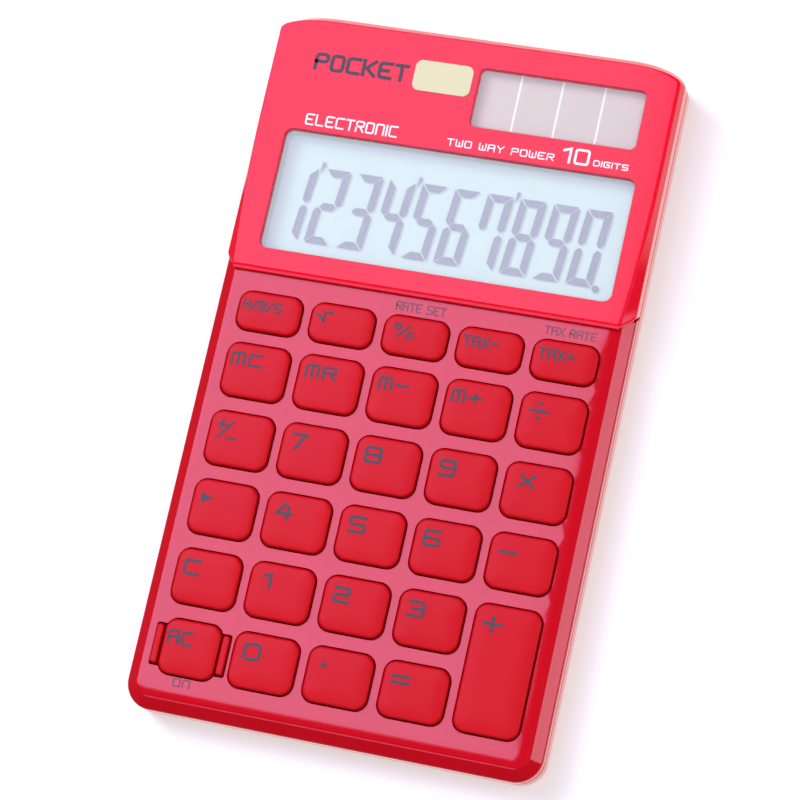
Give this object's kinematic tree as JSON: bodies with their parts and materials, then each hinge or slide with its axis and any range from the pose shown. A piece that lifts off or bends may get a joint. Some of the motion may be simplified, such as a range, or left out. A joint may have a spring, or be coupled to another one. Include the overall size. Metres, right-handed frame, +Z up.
{
  "type": "pocket calculator",
  "caption": "Slim flat pocket calculator with a raised display panel, a light-cell strip and a field of sprung push keys, standing free on its flat back.",
  "frame": {"origin": "middle of the flat back, at the centre of the outline", "axes": "+Z up out of the key face, +Y along the length from the key end to the display end, +X to the right across the width"},
  "size_m": [0.0696, 0.1194, 0.0091],
  "materials": {
    "case_red": "gloss, moulded ABS",
    "key_red": "satin, moulded ABS",
    "clear_acrylic": "clear, polished",
    "lcd_glass": "smooth",
    "lcd_reflector": "fine satin film",
    "silicone": "matt",
    "solar_cell": "satin, light filter film over the cells",
    "label_foil": "satin foil",
    "board_laminate": "matt laminate",
    "black_epoxy": "gloss drop",
    "ceramic": "matt",
    "cell_steel": "bright nickel plated",
    "spring_steel": "bright nickel plated",
    "screw_steel": "zinc plated",
    "wire_red": "satin",
    "wire_black": "satin"
  },
  "bodies": {
    "case": {"rear_case": "case_red", "key_case": "case_red", "display_cover": "case_red", "all_clear_guard": "key_red", "display_window": "clear_acrylic", "solar_window": "clear_acrylic", "lcd_glass": "lcd_glass", "lcd_reflector": "lcd_reflector", "zebra_connector": "silicone", "solar_cell": "solar_cell", "blank_label": "label_foil", "circuit_board": "board_laminate", "key_mat": "silicone", "chip_blob": "black_epoxy", "capacitor": "ceramic", "button_cell": "cell_steel", "battery_contact_positive": "spring_steel", "battery_contact_negative": "spring_steel", "solar_wire_positive": "wire_red", "solar_wire_negative": "wire_black", "case_screw_1": "screw_steel", "case_screw_2": "screw_steel", "case_screw_3": "screw_steel", "case_screw_4": "screw_steel", "case_screw_5": "screw_steel", "case_screw_6": "screw_steel", "board_screw_1": "screw_steel", "board_screw_2": "screw_steel", "board_screw_3": "screw_steel", "board_screw_4": "screw_steel"},
    "key_all_clear": {"key_all_clear": "key_red"},
    "key_0": {"key_0": "key_red"},
    "key_decimal": {"key_decimal": "key_red"},
    "key_equals": {"key_equals": "key_red"},
    "key_clear": {"key_clear": "key_red"},
    "key_1": {"key_1": "key_red"},
    "key_2": {"key_2": "key_red"},
    "key_3": {"key_3": "key_red"},
    "key_backspace": {"key_backspace": "key_red"},
    "key_4": {"key_4": "key_red"},
    "key_5": {"key_5": "key_red"},
    "key_6": {"key_6": "key_red"},
    "key_minus": {"key_minus": "key_red"},
    "key_sign": {"key_sign": "key_red"},
    "key_7": {"key_7": "key_red"},
    "key_8": {"key_8": "key_red"},
    "key_9": {"key_9": "key_red"},
    "key_times": {"key_times": "key_red"},
    "key_memory_clear": {"key_memory_clear": "key_red"},
    "key_memory_recall": {"key_memory_recall": "key_red"},
    "key_memory_minus": {"key_memory_minus": "key_red"},
    "key_memory_plus": {"key_memory_plus": "key_red"},
    "key_divide": {"key_divide": "key_red"},
    "key_plus": {"key_plus": "key_red"},
    "key_time_format": {"key_time_format": "key_red"},
    "key_square_root": {"key_square_root": "key_red"},
    "key_percent": {"key_percent": "key_red"},
    "key_tax_minus": {"key_tax_minus": "key_red"},
    "key_tax_plus": {"key_tax_plus": "key_red"}
  },
  "joints": [
    {"name": "key_all_clear_press", "type": "slide", "parent": "case", "child": "key_all_clear", "axis": [0, 0, -1], "range_m": [0, 0.0009], "stiffness_N_per_m": 500, "springref_m": -0.0002},
    {"name": "key_0_press", "type": "slide", "parent": "case", "child": "key_0", "axis": [0, 0, -1], "range_m": [0, 0.0009], "stiffness_N_per_m": 500, "springref_m": -0.0002},
    {"name": "key_decimal_press", "type": "slide", "parent": "case", "child": "key_decimal", "axis": [0, 0, -1], "range_m": [0, 0.0009], "stiffness_N_per_m": 500, "springref_m": -0.0002},
    {"name": "key_equals_press", "type": "slide", "parent": "case", "child": "key_equals", "axis": [0, 0, -1], "range_m": [0, 0.0009], "stiffness_N_per_m": 500, "springref_m": -0.0002},
    {"name": "key_clear_press", "type": "slide", "parent": "case", "child": "key_clear", "axis": [0, 0, -1], "range_m": [0, 0.0009], "stiffness_N_per_m": 500, "springref_m": -0.0002},
    {"name": "key_1_press", "type": "slide", "parent": "case", "child": "key_1", "axis": [0, 0, -1], "range_m": [0, 0.0009], "stiffness_N_per_m": 500, "springref_m": -0.0002},
    {"name": "key_2_press", "type": "slide", "parent": "case", "child": "key_2", "axis": [0, 0, -1], "range_m": [0, 0.0009], "stiffness_N_per_m": 500, "springref_m": -0.0002},
    {"name": "key_3_press", "type": "slide", "parent": "case", "child": "key_3", "axis": [0, 0, -1], "range_m": [0, 0.0009], "stiffness_N_per_m": 500, "springref_m": -0.0002},
    {"name": "key_backspace_press", "type": "slide", "parent": "case", "child": "key_backspace", "axis": [0, 0, -1], "range_m": [0, 0.0009], "stiffness_N_per_m": 500, "springref_m": -0.0002},
    {"name": "key_4_press", "type": "slide", "parent": "case", "child": "key_4", "axis": [0, 0, -1], "range_m": [0, 0.0009], "stiffness_N_per_m": 500, "springref_m": -0.0002},
    {"name": "key_5_press", "type": "slide", "parent": "case", "child": "key_5", "axis": [0, 0, -1], "range_m": [0, 0.0009], "stiffness_N_per_m": 500, "springref_m": -0.0002},
    {"name": "key_6_press", "type": "slide", "parent": "case", "child": "key_6", "axis": [0, 0, -1], "range_m": [0, 0.0009], "stiffness_N_per_m": 500, "springref_m": -0.0002},
    {"name": "key_minus_press", "type": "slide", "parent": "case", "child": "key_minus", "axis": [0, 0, -1], "range_m": [0, 0.0009], "stiffness_N_per_m": 500, "springref_m": -0.0002},
    {"name": "key_sign_press", "type": "slide", "parent": "case", "child": "key_sign", "axis": [0, 0, -1], "range_m": [0, 0.0009], "stiffness_N_per_m": 500, "springref_m": -0.0002},
    {"name": "key_7_press", "type": "slide", "parent": "case", "child": "key_7", "axis": [0, 0, -1], "range_m": [0, 0.0009], "stiffness_N_per_m": 500, "springref_m": -0.0002},
    {"name": "key_8_press", "type": "slide", "parent": "case", "child": "key_8", "axis": [0, 0, -1], "range_m": [0, 0.0009], "stiffness_N_per_m": 500, "springref_m": -0.0002},
    {"name": "key_9_press", "type": "slide", "parent": "case", "child": "key_9", "axis": [0, 0, -1], "range_m": [0, 0.0009], "stiffness_N_per_m": 500, "springref_m": -0.0002},
    {"name": "key_times_press", "type": "slide", "parent": "case", "child": "key_times", "axis": [0, 0, -1], "range_m": [0, 0.0009], "stiffness_N_per_m": 500, "springref_m": -0.0002},
    {"name": "key_memory_clear_press", "type": "slide", "parent": "case", "child": "key_memory_clear", "axis": [0, 0, -1], "range_m": [0, 0.0009], "stiffness_N_per_m": 500, "springref_m": -0.0002},
    {"name": "key_memory_recall_press", "type": "slide", "parent": "case", "child": "key_memory_recall", "axis": [0, 0, -1], "range_m": [0, 0.0009], "stiffness_N_per_m": 500, "springref_m": -0.0002},
    {"name": "key_memory_minus_press", "type": "slide", "parent": "case", "child": "key_memory_minus", "axis": [0, 0, -1], "range_m": [0, 0.0009], "stiffness_N_per_m": 500, "springref_m": -0.0002},
    {"name": "key_memory_plus_press", "type": "slide", "parent": "case", "child": "key_memory_plus", "axis": [0, 0, -1], "range_m": [0, 0.0009], "stiffness_N_per_m": 500, "springref_m": -0.0002},
    {"name": "key_divide_press", "type": "slide", "parent": "case", "child": "key_divide", "axis": [0, 0, -1], "range_m": [0, 0.0009], "stiffness_N_per_m": 500, "springref_m": -0.0002},
    {"name": "key_plus_press", "type": "slide", "parent": "case", "child": "key_plus", "axis": [0, 0, -1], "range_m": [0, 0.0009], "stiffness_N_per_m": 500, "springref_m": -0.0002},
    {"name": "key_time_format_press", "type": "slide", "parent": "case", "child": "key_time_format", "axis": [0, 0, -1], "range_m": [0, 0.0009], "stiffness_N_per_m": 500, "springref_m": -0.0002},
    {"name": "key_square_root_press", "type": "slide", "parent": "case", "child": "key_square_root", "axis": [0, 0, -1], "range_m": [0, 0.0009], "stiffness_N_per_m": 500, "springref_m": -0.0002},
    {"name": "key_percent_press", "type": "slide", "parent": "case", "child": "key_percent", "axis": [0, 0, -1], "range_m": [0, 0.0009], "stiffness_N_per_m": 500, "springref_m": -0.0002},
    {"name": "key_tax_minus_press", "type": "slide", "parent": "case", "child": "key_tax_minus", "axis": [0, 0, -1], "range_m": [0, 0.0009], "stiffness_N_per_m": 500, "springref_m": -0.0002},
    {"name": "key_tax_plus_press", "type": "slide", "parent": "case", "child": "key_tax_plus", "axis": [0, 0, -1], "range_m": [0, 0.0009], "stiffness_N_per_m": 500, "springref_m": -0.0002}
  ]
}
